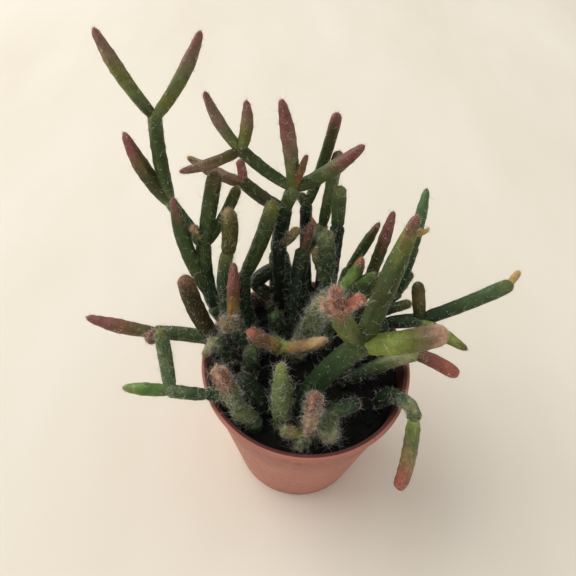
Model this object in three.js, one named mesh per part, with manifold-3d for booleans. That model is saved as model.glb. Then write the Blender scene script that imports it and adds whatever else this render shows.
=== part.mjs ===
// A small potted rhipsalis: a tapered nursery pot, its soil, and the cactus's stems.
//
// Millimetres, +Z up. The origin is the centre of the pot's underside, and the
// plant's front, seen from above and ahead, faces -Y.
//
// The cactus has no leaves. Each stem rises from the soil and branches from joint
// to joint, and each shoot between two joints is a soft, slightly four-angled finger
// that is narrow where it grows out of the one before.

import * as THREE from 'three';
import { mergeVertices } from 'three/addons/utils/BufferGeometryUtils.js';
import Module from 'manifold-3d';

const wasm = await Module();
wasm.setup();

// Pot
const RIM_RADIUS = 30;
const POT_HEIGHT = 53;
const BASE_RADIUS = 21;
const WALL = 1.1;
const LIP_HEIGHT = 1.6;
const LIP_OVERHANG = 0.7;
const EDGE = 0.3;
const FLOOR = 2.2;
const BOSS_RADIUS = 9;
const FOOT_RING_INNER = 17;
const BASE_RECESS = 0.8;
const DRAIN_HOLES = 6;
const DRAIN_RADIUS = 2.2;
const DRAIN_RING = 13;
const NOTCH_WIDTH = 3;
const POT_SIDES = 48;
const DRAIN_SIDES = 12;

// Soil
const GAP = 0.35;
const SOIL_TOP = 47.5;
const SOIL_CROWN = 0.5;
const LUMP = 0.45;
const SOIL_SIDES = 36;
const SOIL_RINGS = 5;

// Stems
const ROOT_DEPTH = 8;
const COLLAR_HEIGHT = 3.5;
const COLLAR_ROUND = 0.8;
const COLLAR_CROWN = 0.7;
const COLLAR_SHARE = 0.95;
const SHOOT_SIDES = 8;
const SHOOT_STEPS = 24;
const ANGLE_DEPTH = 0.05;
const NECK = 0.7;
const NECK_REACH = 0.16;
const SHOULDER = 0.93;
const LONGEST_TIP = 0.4;
const SINK = 0.7;

const COLOURS = {
  pot: 0xa4624f,
  soil: 0x191512,
  green: 0x4f6b35,
  dark: 0x2c4229,
  grey: 0x5d6f55,
  olive: 0x7c8243,
  purple: 0x6b4744,
};
const ROUGHNESS = { pot: 0.55, soil: 0.95, stem: 0.6 };

// The stems, front to back. A foot is where a stem leaves the soil, x and y. A shoot
// has the shoot that it grows from, its far end and its width. It grows from that
// shoot's end, or part of the way along it where `at` says so, and it ends in a
// joint, a point or a blunt tip. A bow pushes its middle aside.
const STEMS = {
  stem_front_left: {
    foot: [-13.2, -19],
    colour: 'olive',
    shoots: {
      a: { from: 'foot', to: [-18.5, -18, 56], width: 4.6, tip: 'joint' },
      b: { from: 'a', to: [-23, -14.5, 70], width: 4.2, tip: 'blunt' },
    },
  },
  stem_front_dark: {
    foot: [-10, -14],
    colour: 'dark',
    shoots: {
      a: { from: 'foot', to: [-18, -10.5, 60], width: 4.8, tip: 'blunt' },
    },
  },
  stem_front_green: {
    foot: [-6, -19],
    colour: 'olive',
    shoots: {
      a: { from: 'foot', to: [-7, -11.5, 69], width: 5, tip: 'point', bow: [0, -2, 0] },
      b: { from: 'foot', to: [-4.5, -12.5, 62], width: 3.1, tip: 'blunt' },
    },
  },
  stem_front_pink: {
    foot: [1, -22],
    colour: 'grey',
    shoots: {
      a: { from: 'foot', to: [2, -18.5, 67], width: 3.7, tip: 'blunt' },
      b: { from: 'foot', to: [-6, -23.5, 55.5], width: 3.4, tip: 'blunt' },
      c: { from: 'foot', to: [-2, -26, 51.8], width: 3.4, tip: 'blunt' },
    },
  },
  stem_front_hoary: {
    foot: [5.5, -16.5],
    colour: 'grey',
    shoots: {
      a: { from: 'foot', to: [7, -24.5, 52.5], width: 5.8, tip: 'blunt', bow: [0, 0, 1] },
      b: { from: 'foot', to: [15, -13, 53], width: 4.1, tip: 'blunt', bow: [0, 0, 1] },
    },
  },
  stem_over_front_rim: {
    foot: [20.5, -11.5],
    colour: 'dark',
    shoots: {
      a: { from: 'foot', to: [24.5, -13, 59], width: 3.7, tip: 'joint', bow: [-1, 0, 1] },
      b: { from: 'a', to: [28.5, -19, 55.5], width: 3.7, tip: 'joint', bow: [1.5, 0, 1] },
      c: { from: 'b', to: [28.5, -28, 32], width: 4, tip: 'blunt', bow: [0.5, -1, 0] },
    },
  },
  stem_over_left_rim: {
    foot: [-18.5, -12],
    colour: 'dark',
    shoots: {
      a: { from: 'foot', to: [-27, -15.5, 57], width: 3.5, tip: 'joint', bow: [0, 0, 1.5] },
      b: { from: 'a', to: [-37.5, -13.5, 55], width: 3.5, tip: 'joint', bow: [0, -0.5, 0.5] },
      c: { from: 'b', to: [-49.5, -13.5, 55], width: 3.5, tip: 'point' },
      d: { from: 'b', to: [-41, 1, 63], width: 4.1, tip: 'blunt', bow: [0, 0, -1.5] },
    },
  },
  stem_centre_short: {
    foot: [-16, -7.5],
    colour: 'grey',
    shoots: {
      a: { from: 'foot', to: [-15.5, -1.5, 61], width: 4.4, tip: 'blunt' },
    },
  },
  stem_left_purple: {
    foot: [-21, 0],
    colour: 'purple',
    shoots: {
      a: { from: 'foot', to: [-27.5, 3, 58], width: 4.6, tip: 'joint' },
      b: { from: 'a', to: [-34, 8.5, 77], width: 4.9, tip: 'blunt', bow: [-1, 0, -1] },
      c: { from: 'a', to: [-44.5, 3.5, 57], width: 4.3, tip: 'joint', bow: [0, 0, 1] },
      d: { from: 'c', to: [-63.5, 5.5, 60], width: 4, tip: 'point', bow: [0, 0, -1] },
      e: { from: 'c', to: [-44.5, -1, 59.5], width: 4, tip: 'blunt' },
      f: { from: 'a', to: [-26, -3, 63], width: 2.7, tip: 'blunt' },
      g: { from: 'a', to: [-29, -3, 56], width: 2.6, tip: 'blunt' },
    },
  },
  stem_left_fat: {
    foot: [-15, 1],
    colour: 'green',
    shoots: {
      a: { from: 'foot', to: [-22, 5.5, 64], width: 4, tip: 'joint' },
      b: { from: 'a', to: [-23.5, 19, 77], width: 3.9, tip: 'joint', bow: [-2, 0, -1] },
      c: { from: 'b', to: [-23.5, 22.5, 89], width: 4.5, tip: 'blunt', bow: [0.7, 0, 0] },
      d: { from: 'a', to: [-21, 11, 80.5], width: 3.4, tip: 'point' },
      e: { from: 'a', to: [-22, -1.5, 71], width: 4.2, tip: 'blunt', bow: [0, 0, -1] },
    },
  },
  stem_far_left: {
    foot: [-20, 8],
    colour: 'green',
    shoots: {
      a: { from: 'foot', to: [-28, 11, 62], width: 4.6, tip: 'joint' },
      b: { from: 'a', to: [-31, 23, 76], width: 4.5, tip: 'joint', bow: [-1.2, 0, 0] },
      c: { from: 'b', to: [-41.5, 30.5, 84], width: 3.7, tip: 'joint' },
      d: { from: 'c', to: [-44.5, 42, 104], width: 3.8, tip: 'joint', bow: [-0.8, 0, 0] },
      e: { from: 'd', to: [-58.5, 49.5, 122], width: 3.8, tip: 'point', bow: [-0.8, 0, -0.8] },
      f: { from: 'd', to: [-31, 46.5, 124], width: 3.8, tip: 'point', bow: [0.8, 0, -0.8] },
      g: { from: 'c', to: [-52.5, 38, 100], width: 4.3, tip: 'point', bow: [-1, 0, -1] },
      h: { from: 'b', to: [-27.5, 31, 94.5], width: 4.5, tip: 'blunt' },
      i: { from: 'b', to: [-22, 33, 88], width: 3.4, tip: 'blunt', bow: [0.5, 0, -1] },
      j: { from: 'b', at: 0.2, to: [-38.5, 25.5, 89], width: 4.3, tip: 'point', bow: [-1.5, 0, -1] },
      k: { from: 'b', to: [-33.5, 22, 82.5], width: 2.3, tip: 'blunt' },
    },
  },
  stem_centre_yellow: {
    foot: [-13, 5.5],
    colour: 'olive',
    shoots: {
      a: { from: 'foot', to: [-6.5, -3, 62], width: 4.1, tip: 'joint', bow: [-0.5, 0.5, 2] },
      b: { from: 'a', to: [-16, -3, 70], width: 3.7, tip: 'blunt', bow: [0, 0, -1] },
      c: { from: 'a', to: [4.5, -3.5, 69], width: 3.7, tip: 'point', bow: [0, 0, -1.5] },
    },
  },
  stem_near_right: {
    foot: [-1, -13],
    colour: 'green',
    shoots: {
      a: { from: 'foot', to: [13, -11, 80], width: 5.7, tip: 'joint', bow: [-1.5, 0, 1] },
      b: { from: 'a', to: [21.5, 7, 104], width: 5.1, tip: 'point' },
      c: { from: 'a', to: [30.5, -11.5, 86], width: 5.4, tip: 'blunt', bow: [0, 0, -1.5] },
      d: { from: 'a', to: [5, -11.5, 93], width: 4.8, tip: 'joint', bow: [-1, 0, -0.5] },
      e: { from: 'd', to: [1, -14, 97.5], width: 2.8, tip: 'blunt' },
      f: { from: 'd', to: [3.5, -9.5, 97.5], width: 2.9, tip: 'blunt' },
      g: { from: 'd', to: [9.5, -12, 97.5], width: 2.6, tip: 'blunt' },
      h: { from: 'b', at: 0.88, to: [25, 7, 100.5], width: 1.4, tip: 'point', bow: [0.5, 0, -1] },
    },
  },
  stem_right_low: {
    foot: [11, -5],
    colour: 'dark',
    shoots: {
      a: { from: 'foot', to: [31.5, 0, 60], width: 4.2, tip: 'joint', bow: [0, 0, 1.5] },
      b: { from: 'a', to: [42, -5, 57], width: 4.1, tip: 'blunt', bow: [0, 0, 0.8] },
    },
  },
  stem_over_right_rim: {
    foot: [18, 5],
    colour: 'dark',
    shoots: {
      a: { from: 'foot', to: [24, 13, 57.5], width: 4.2, tip: 'joint' },
      b: { from: 'a', to: [33.5, 10, 62], width: 4, tip: 'joint' },
      c: { from: 'b', to: [57, 17, 72], width: 4.4, tip: 'blunt', bow: [0, 0, -1] },
      d: { from: 'b', to: [29.5, 14.5, 73], width: 3.6, tip: 'blunt' },
      e: { from: 'b', to: [44.5, 1, 61], width: 3.4, tip: 'point' },
      f: { from: 'c', to: [58.5, 19.5, 74.5], width: 2.2, tip: 'blunt' },
    },
  },
  stem_young: {
    foot: [-8, 8.5],
    colour: 'olive',
    shoots: {
      a: { from: 'foot', to: [-10, 11.5, 60], width: 3.9, tip: 'blunt' },
      b: { from: 'foot', to: [-11.5, 13.5, 62], width: 2.6, tip: 'blunt', bow: [0, 0, -1] },
    },
  },
  stem_middle_hoary: {
    foot: [-3, 4],
    colour: 'grey',
    shoots: {
      a: { from: 'foot', to: [4.5, 5.5, 76], width: 5.8, tip: 'blunt' },
    },
  },
  stem_bright_pair: {
    foot: [6, 7],
    colour: 'green',
    shoots: {
      a: { from: 'foot', to: [7, 12, 71], width: 4, tip: 'joint' },
      b: { from: 'a', to: [12.5, 13, 83], width: 3.8, tip: 'point', bow: [1, 0, -1] },
      c: { from: 'a', to: [16, 10.5, 80], width: 3.8, tip: 'point', bow: [0.5, 0, -1] },
    },
  },
  stem_middle_tall: {
    foot: [-4.5, 11],
    colour: 'green',
    shoots: {
      a: { from: 'foot', to: [-2.5, 23.5, 75], width: 4.4, tip: 'joint', bow: [-0.5, 0, 0] },
      b: { from: 'a', to: [-1, 26, 82], width: 2.8, tip: 'blunt' },
    },
  },
  stem_middle_back: {
    foot: [0, 12],
    colour: 'grey',
    shoots: {
      a: { from: 'foot', to: [6, 17, 67], width: 3.9, tip: 'joint', bow: [-1, 0, 0] },
      b: { from: 'a', to: [3, 21.5, 84], width: 4.6, tip: 'blunt' },
      c: { from: 'a', to: [0.5, 21, 77.5], width: 3.4, tip: 'blunt', bow: [0.5, -1, -0.5] },
    },
  },
  stem_middle_black: {
    foot: [-8, 15.5],
    colour: 'dark',
    shoots: {
      a: { from: 'foot', to: [-9.5, 21, 79], width: 3.5, tip: 'joint', bow: [-0.5, 0, 0] },
      b: { from: 'a', to: [-4.5, 23, 83], width: 2.9, tip: 'blunt', bow: [0, 0, -0.8] },
    },
  },
  stem_back_pale: {
    foot: [-17, 12.5],
    colour: 'grey',
    shoots: {
      a: { from: 'foot', to: [-19.5, 20, 67], width: 4.3, tip: 'joint', bow: [-1, 0, 0] },
      b: { from: 'a', to: [-11.5, 26.5, 89], width: 4.4, tip: 'blunt', bow: [0.5, 0, -1] },
    },
  },
  stem_back_spreading: {
    foot: [-10, 19.5],
    colour: 'green',
    shoots: {
      a: { from: 'foot', to: [-10.5, 26, 70], width: 4.2, tip: 'joint', bow: [0, 1.5, 0] },
      b: { from: 'a', to: [-8.5, 30, 85], width: 4.6, tip: 'joint' },
      c: { from: 'b', to: [-6, 30.5, 92], width: 4, tip: 'joint' },
      d: { from: 'c', to: [-10.5, 31.5, 116], width: 3.7, tip: 'point', bow: [0.5, 0, 0] },
      e: { from: 'c', to: [-3.5, 29, 102.5], width: 2.3, tip: 'point' },
      f: { from: 'c', to: [11, 32.5, 104], width: 3.9, tip: 'point', bow: [0, 0, -1.5] },
      g: { from: 'c', to: [-21.5, 33, 101], width: 3.4, tip: 'joint', bow: [0, 0, -1] },
      h: { from: 'g', to: [-29.5, 36.5, 114], width: 3.1, tip: 'point', bow: [-0.8, 0, -0.8] },
      i: { from: 'g', to: [-19, 33.5, 114], width: 3.1, tip: 'point', bow: [0.8, 0, 0] },
      j: { from: 'g', to: [-36, 26.5, 97], width: 3, tip: 'point', bow: [0, 0, -0.8] },
      k: { from: 'b', to: [-21.5, 37, 87], width: 3.8, tip: 'joint', bow: [0, 0, -1] },
      l: { from: 'k', to: [-37, 41, 91], width: 3.4, tip: 'point', bow: [0, 0, -1] },
      m: { from: 'k', to: [-22, 40, 92], width: 2.5, tip: 'blunt' },
      n: { from: 'a', at: 0.7, to: [-18, 22, 58], width: 4.6, tip: 'joint', bow: [0, 0, 1] },
      o: { from: 'n', to: [-10.8, 20.5, 53], width: 4.2, tip: 'blunt', bow: [0, 0, 0.5] },
    },
  },
  stem_back_tall: {
    foot: [0, 20],
    colour: 'dark',
    shoots: {
      a: { from: 'foot', to: [-2, 33, 64], width: 3.8, tip: 'joint', bow: [0, 1, 0] },
      b: { from: 'a', to: [-2.5, 34.5, 82], width: 3.5, tip: 'joint' },
      c: { from: 'b', to: [4, 42, 107], width: 3.3, tip: 'blunt', bow: [0.5, 0, -0.5] },
      d: { from: 'b', to: [-4.5, 34, 86], width: 2.6, tip: 'blunt' },
      e: { from: 'a', to: [3, 30.5, 78], width: 3.5, tip: 'joint' },
      f: { from: 'e', to: [5.5, 39.5, 97], width: 3.4, tip: 'blunt' },
    },
  },
  stem_back_dark: {
    foot: [6, 18],
    colour: 'dark',
    shoots: {
      a: { from: 'foot', to: [6.5, 26.5, 82], width: 3.8, tip: 'joint' },
      b: { from: 'a', to: [6, 29.5, 93], width: 3.7, tip: 'blunt' },
    },
  },
  stem_back_right: {
    foot: [10.3, 14.6],
    colour: 'green',
    shoots: {
      a: { from: 'foot', to: [16.5, 20, 58], width: 3.8, tip: 'joint' },
      b: { from: 'a', to: [26, 27.5, 67], width: 3.2, tip: 'point' },
      c: { from: 'a', to: [21.5, 28.5, 86], width: 3.3, tip: 'point', bow: [0.5, 0, 0] },
    },
  },
  stem_back_slender: {
    foot: [14.5, 15.5],
    colour: 'green',
    shoots: {
      a: { from: 'foot', to: [27.5, 20, 62], width: 3.3, tip: 'joint' },
      b: { from: 'a', to: [30, 28, 74], width: 3.2, tip: 'joint' },
      c: { from: 'b', to: [32.5, 40.5, 85], width: 3.5, tip: 'point' },
      d: { from: 'a', to: [30.5, 24.5, 66], width: 2.7, tip: 'blunt' },
      e: { from: 'foot', to: [31, 17.5, 60], width: 3, tip: 'blunt', bow: [0, 0, 1] },
    },
  },
  stem_rear_left: {
    foot: [-5, 21.5],
    colour: 'dark',
    shoots: {
      a: { from: 'foot', to: [-9.5, 35.5, 61], width: 4.2, tip: 'joint', bow: [0, 0, 2] },
      b: { from: 'a', to: [-10, 42, 67], width: 4, tip: 'blunt', bow: [0, 0, -1] },
    },
  },
  stem_rear_centre: {
    foot: [3.5, 22],
    colour: 'dark',
    shoots: {
      a: { from: 'foot', to: [5, 37.5, 61], width: 4, tip: 'joint', bow: [0, 0, 3.5] },
      b: { from: 'a', to: [-1, 47.5, 66], width: 3.8, tip: 'point', bow: [0, 0, -1] },
    },
  },
  stem_rear_right: {
    foot: [9, 20.5],
    colour: 'green',
    shoots: {
      a: { from: 'foot', to: [12.5, 29.5, 61], width: 3.8, tip: 'joint', bow: [0, 0, 2] },
      b: { from: 'a', to: [19.5, 33.5, 77], width: 3.2, tip: 'point' },
    },
  },
};

// Shared helpers for solids

function toSolid(geometry) {
  geometry.deleteAttribute('normal');
  geometry.deleteAttribute('uv');
  const welded = mergeVertices(geometry, 1e-4);
  const vertProperties = new Float32Array(welded.attributes.position.array);
  const triVerts = new Uint32Array(welded.index.array);
  return new wasm.Manifold(new wasm.Mesh({ numProp: 3, vertProperties, triVerts }));
}

function toGeometry(solid) {
  const mesh = solid.getMesh();
  const geometry = new THREE.BufferGeometry();
  geometry.setAttribute('position', new THREE.BufferAttribute(mesh.vertProperties, 3));
  geometry.setIndex(new THREE.BufferAttribute(mesh.triVerts, 1));
  geometry.computeVertexNormals();
  return geometry;
}

function turned(profile, sides) {
  const points = profile.map(([radius, z]) => new THREE.Vector2(radius, z));
  return new THREE.LatheGeometry(points, sides).rotateX(Math.PI / 2);
}

function addMesh(group, name, geometry, colour, roughness) {
  const material = new THREE.MeshStandardMaterial({ color: colour, roughness, metalness: 0 });
  const mesh = new THREE.Mesh(geometry, material);
  mesh.name = name;
  group.add(mesh);
  return mesh;
}

// Pot

const WALL_TOP_RADIUS = RIM_RADIUS - LIP_OVERHANG;

function outerRadius(z) {
  return THREE.MathUtils.lerp(BASE_RADIUS, WALL_TOP_RADIUS, z / POT_HEIGHT);
}

function innerRadius(z) {
  return outerRadius(z) - WALL;
}

function makePot() {
  const lipBottom = POT_HEIGHT - LIP_HEIGHT;
  let pot = toSolid(turned([
    [0, 0],
    [BOSS_RADIUS, 0],
    [BOSS_RADIUS + EDGE, BASE_RECESS],
    [FOOT_RING_INNER - EDGE, BASE_RECESS],
    [FOOT_RING_INNER, 0],
    [BASE_RADIUS - EDGE, 0],
    [outerRadius(EDGE), EDGE],
    [outerRadius(lipBottom), lipBottom],
    [RIM_RADIUS, lipBottom + EDGE],
    [RIM_RADIUS, POT_HEIGHT - EDGE],
    [RIM_RADIUS - EDGE, POT_HEIGHT],
    [innerRadius(POT_HEIGHT) + EDGE, POT_HEIGHT],
    [innerRadius(POT_HEIGHT), POT_HEIGHT - EDGE],
    [innerRadius(FLOOR), FLOOR],
    [0, FLOOR],
  ], POT_SIDES));
  for (let i = 0; i < DRAIN_HOLES; i += 1) {
    const angle = (i / DRAIN_HOLES) * 2 * Math.PI;
    const hole = new THREE.CylinderGeometry(DRAIN_RADIUS, DRAIN_RADIUS, 3 * FLOOR, DRAIN_SIDES)
      .rotateX(Math.PI / 2)
      .translate(DRAIN_RING, 0, 0)
      .rotateZ(angle);
    const notch = new THREE.BoxGeometry(2 * BASE_RADIUS, NOTCH_WIDTH, 2 * BASE_RECESS)
      .translate(FOOT_RING_INNER - EDGE + BASE_RADIUS, 0, 0)
      .rotateZ(angle + Math.PI / DRAIN_HOLES);
    pot = pot.subtract(toSolid(hole)).subtract(toSolid(notch));
  }
  return toGeometry(pot);
}

// Soil

function soilHeight(x, y) {
  const crown = SOIL_CROWN * (1 - (x * x + y * y) / (RIM_RADIUS * RIM_RADIUS));
  const broad = Math.sin(0.31 * x + 1.7) * Math.cos(0.27 * y - 0.6);
  const fine = Math.sin(0.83 * x - 0.9 * y) * Math.cos(0.71 * x + 0.64 * y + 2);
  return SOIL_TOP + crown + LUMP * (0.6 * broad + 0.4 * fine);
}

function makeSoil(holes) {
  const floor = FLOOR + GAP;
  const edge = innerRadius(SOIL_TOP) - GAP;
  const rings = [];
  for (let i = 0; i < SOIL_RINGS; i += 1) rings.push([edge * (1 - i / SOIL_RINGS), SOIL_TOP]);
  const geometry = turned(
    [[0, floor], [innerRadius(floor) - GAP, floor], ...rings, [0, SOIL_TOP]],
    SOIL_SIDES,
  );
  const position = geometry.attributes.position;
  for (let i = 0; i < position.count; i += 1) {
    const isTop = position.getZ(i) > floor + GAP;
    if (isTop) position.setZ(i, soilHeight(position.getX(i), position.getY(i)));
  }
  return toGeometry(holes.reduce((soil, hole) => soil.subtract(hole), toSolid(geometry)));
}

// Stems

// Each tip's outline: a share of the shoot's radius, and how many radii it lies short of the end.
const TIPS = {
  point: [[0.82, 2.4], [0.48, 0.6], [0, 0]],
  blunt: [[0.94, 0.8], [0.66, 0.2], [0, 0]],
  joint: [[0.9, 0.7], [0.62, 0.16], [0, 0]],
};

// A shoot's outline, as a radius and a height: a narrow neck, a fuller middle, and its tip.
function shootProfile(length, radius, tip) {
  const body = [
    [0, 0],
    [NECK * radius, 0],
    [SHOULDER * radius, NECK_REACH * length],
    [radius, 0.5 * length],
  ];
  const [[, longest]] = TIPS[tip];
  const squeeze = Math.min(1, (LONGEST_TIP * length) / (longest * radius));
  const end = TIPS[tip].map(([wide, left]) => [wide * radius, length - left * radius * squeeze]);
  return [...body, ...end];
}

// Bends an upright turned shape along a curve and gives it four soft angles.
function bendAlong(geometry, curve, length) {
  const frames = curve.computeFrenetFrames(SHOOT_STEPS);
  const position = geometry.attributes.position;
  const centre = new THREE.Vector3();
  const across = new THREE.Vector3();
  for (let i = 0; i < position.count; i += 1) {
    const x = position.getX(i);
    const y = position.getY(i);
    const along = THREE.MathUtils.clamp(position.getZ(i) / length, 0, 1);
    const frame = Math.round(along * SHOOT_STEPS);
    const swell = 1 + ANGLE_DEPTH * Math.cos(4 * Math.atan2(y, x));
    curve.getPointAt(along, centre);
    across.copy(frames.normals[frame]).multiplyScalar(x * swell);
    centre.add(across);
    across.copy(frames.binormals[frame]).multiplyScalar(y * swell);
    centre.add(across);
    position.setXYZ(i, centre.x, centre.y, centre.z);
  }
  return geometry;
}

function makeShoot(curve, radius, tip) {
  const length = curve.getLength();
  const upright = turned(shootProfile(length, radius, tip), SHOOT_SIDES);
  return toSolid(bendAlong(upright, curve, length));
}

// The collar stands upright in the soil, and the stem's first shoots grow out of its
// rounded top. Grown by a clearance, it is also the hole that it stands in.
function makeCollar(foot, radius, clearance) {
  const wide = radius + clearance;
  const top = COLLAR_HEIGHT + clearance;
  const profile = [
    [0, -ROOT_DEPTH - clearance],
    [wide, -ROOT_DEPTH - clearance],
    [wide, top - COLLAR_ROUND],
    [COLLAR_CROWN * wide, top],
    [0, top],
  ];
  return toSolid(turned(profile, SHOOT_SIDES).translate(foot[0], foot[1], SOIL_TOP));
}

// Where a new shoot leaves another: part of the way along it, or just short of its end.
function leavingPoint({ curve, radius }, at) {
  return curve.getPointAt(at ?? 1 - (SINK * radius) / curve.getLength());
}

function makeStem({ foot, shoots }) {
  const firstWidths = Object.values(shoots)
    .filter((shoot) => shoot.from === 'foot')
    .map((shoot) => shoot.width);
  const collarRadius = (COLLAR_SHARE * Math.max(...firstWidths)) / 2;
  const footTop = new THREE.Vector3(foot[0], foot[1], SOIL_TOP + COLLAR_HEIGHT - COLLAR_ROUND);
  let solid = makeCollar(foot, collarRadius, 0);
  const grown = {};
  for (const [id, shoot] of Object.entries(shoots)) {
    const { from, at, to, width, tip, bow = [0, 0, 0] } = shoot;
    const start = from === 'foot' ? footTop : leavingPoint(grown[from], at);
    const end = new THREE.Vector3(...to);
    const middle = start.clone().add(end).multiplyScalar(0.5);
    middle.addScaledVector(new THREE.Vector3(...bow), 2);
    const curve = new THREE.QuadraticBezierCurve3(start, middle, end);
    solid = solid.add(makeShoot(curve, width / 2, tip));
    grown[id] = { curve, radius: width / 2 };
  }
  return { solid, hole: makeCollar(foot, collarRadius, GAP) };
}

// The whole plant

const plant = new THREE.Group();
const holes = [];
addMesh(plant, 'pot', makePot(), COLOURS.pot, ROUGHNESS.pot);
for (const [name, stem] of Object.entries(STEMS)) {
  const { solid, hole } = makeStem(stem);
  holes.push(hole);
  addMesh(plant, name, toGeometry(solid), COLOURS[stem.colour], ROUGHNESS.stem);
}
addMesh(plant, 'soil', makeSoil(holes), COLOURS.soil, ROUGHNESS.soil);

export default plant;
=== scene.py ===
"""A small potted rhipsalis: the finish of its stems, bristles, peat and pot.

Lengths are in millimetres in the frame's axes, with the origin at the middle of
the pot's underside. MM turns them into metres where a mesh or a light is made.
"""

import math

import bmesh
import bpy
import numpy as np
from mathutils import Matrix, Vector


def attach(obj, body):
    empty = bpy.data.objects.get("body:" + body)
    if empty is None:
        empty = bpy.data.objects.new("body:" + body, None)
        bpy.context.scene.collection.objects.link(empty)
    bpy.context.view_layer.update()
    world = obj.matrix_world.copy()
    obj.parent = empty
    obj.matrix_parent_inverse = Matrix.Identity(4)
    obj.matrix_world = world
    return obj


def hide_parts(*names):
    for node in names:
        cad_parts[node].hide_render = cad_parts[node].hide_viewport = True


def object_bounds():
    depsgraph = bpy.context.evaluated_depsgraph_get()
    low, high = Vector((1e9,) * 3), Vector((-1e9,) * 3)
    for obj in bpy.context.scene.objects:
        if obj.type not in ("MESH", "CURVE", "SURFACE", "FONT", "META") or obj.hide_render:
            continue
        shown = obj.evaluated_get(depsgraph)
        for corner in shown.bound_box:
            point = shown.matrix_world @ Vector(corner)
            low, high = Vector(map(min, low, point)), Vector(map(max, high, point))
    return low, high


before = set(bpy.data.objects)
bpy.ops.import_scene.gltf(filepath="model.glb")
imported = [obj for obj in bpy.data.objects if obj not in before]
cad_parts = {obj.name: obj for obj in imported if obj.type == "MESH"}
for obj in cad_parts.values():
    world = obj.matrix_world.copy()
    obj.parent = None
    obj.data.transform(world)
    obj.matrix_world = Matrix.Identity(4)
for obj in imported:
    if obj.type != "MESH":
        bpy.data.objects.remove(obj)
cad_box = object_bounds()

MM = 0.001
FULL_TURN = 2 * math.pi

# The direction that the parts of a turned shape are sorted along, slanted so that none tie.
SORTING_WAY = Vector((1, 1.7, 2.3))

# Camera: the photograph's place, tilt and roll, and its lens on a 36 mm sensor.
CAMERA_PLACE = (-6.4, -81.0, 181.5)
CAMERA_TILT = 39.9
CAMERA_ROLL = 3.25
CAMERA_LENS = 32.5
CAMERA_SENSOR = 36
CAMERA_NEAR = 5

# Room: a window on the left and behind, pale light all round, and a wide table.
WINDOW_PLACE = (-1450, 600, 1300)
WINDOW_AIM = (0, 0, 50)
WINDOW_SIZE = 2200
WINDOW_POWER = 34
ROOM_STRENGTH = 0.66
LIGHT_COLOUR = (1.0, 0.99, 0.97)
PICTURE_GAMMA = 0.88
TABLE_REACH = 1500

# Pot
RIM_RADIUS = 30
POT_HEIGHT = 53
BASE_RADIUS = 21
WALL = 1.1
LIP_HEIGHT = 1.6
LIP_OVERHANG = 0.7
LIP_ROUND = 0.28
FLOOR = 2.2
BOSS_RADIUS = 9
FOOT_RING_INNER = 17
BASE_RECESS = 0.8
BASE_SLANT = 0.3
DRAIN_HOLES = 6
DRAIN_RADIUS = 2.2
DRAIN_RING = 13
NOTCH_WIDTH = 3
POT_STEPS = 144
WALL_SLOPE = (RIM_RADIUS - LIP_OVERHANG - BASE_RADIUS) / POT_HEIGHT

# Peat
PEAT_GAP = 0.35
PEAT_TOP = 47.5
PEAT_CROWN = 0.5
PEAT_LUMP = 0.45
PEAT_CRUMBLE = 0.09
PEAT_STEPS = 96
PEAT_RINGS = 34
CRUMBS = 1500
CRUMB_SIZES = (0.18, 0.93)
FIBRES = 260
FIBRE_LENGTHS = (1.2, 4.2)
FIBRE_GIRTHS = (0.09, 0.19)

# Stems: a collar in the peat, then shoots, each with a narrow neck and a fuller middle.
COLLAR_HEIGHT = 3.5
COLLAR_ROUND = 0.8
COLLAR_SHARE = 0.95
COLLAR_SHADE = 0.7
ROOT_DEPTH = 8
NECK = 0.7
NECK_REACH = 0.16
SHOULDER = 0.93
SINK = 0.7
ANGLE_DEPTH = 0.05
ANGLES = 4
SHOOT_SIDES = 20
RING_GAP = 0.55
TIP_RINGS = 9
LAST_RING = 0.9995

# A shoot with more down than YOUNG_FROM starts to look young, fully so past YOUNG_SPAN more:
# closer areoles, higher knobs, and a darker skin with pale knobs.
YOUNG_FROM = 0.3
YOUNG_SPAN = 0.5
YOUNG_CROWDING = 0.35
YOUNG_SWELL = 2
YOUNG_PALE = 0.9
YOUNG_DARK = 0.4

# Each kind of end: the share that the shoot narrows by, over how many of its radii, and
# how many radii the rounded cap takes. Both reaches stay under a share of the length.
TAPER = {"point": 0.6, "blunt": 0.18, "joint": 0}
TAPER_REACH = {"point": 4.8, "blunt": 2.2, "joint": 1}
CAP_REACH = {"point": 0.75, "blunt": 0.95, "joint": 0.95}
LONGEST_TIP = 0.45

# Areoles, the small felted knobs that the bristles grow from, and the hairs. DOWN_PER_SQUARE
# counts hairs on a square millimetre. TUFT_REACH is in radii of the shoot. Past DOWNY, an
# areole may have more bristles. OPEN_HEIGHT is how far over the peat hairs begin.
AREOLE_PITCH = 3.9
TIP_CROWDING = 0.55
AREOLE_SWELL = 0.13
AREOLE_SPREAD = 0.55
AREOLE_RADIUS = 0.085
AREOLE_FLATNESS = 0.6
DOWNY = 0.25
BRISTLE_GIRTH = 0.06
BRISTLE_LENGTHS = (0.7, 4.1)
DOWN_GIRTH = 0.052
DOWN_LENGTHS = (0.6, 3.6)
DOWN_PER_SQUARE = 3.2
TUFT_LENGTHS = (0.25, 0.95)
TUFT_REACH = 1.8
HAIR_WAVE = 0.17
HAIR_SLACK = 1.0
OPEN_HEIGHT = 0.6

# The seeds of the random draws; each stem adds its number to the first.
STEM_SEED = 100
PEAT_SEED = 3
AREOLE_SEED = 5

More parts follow.
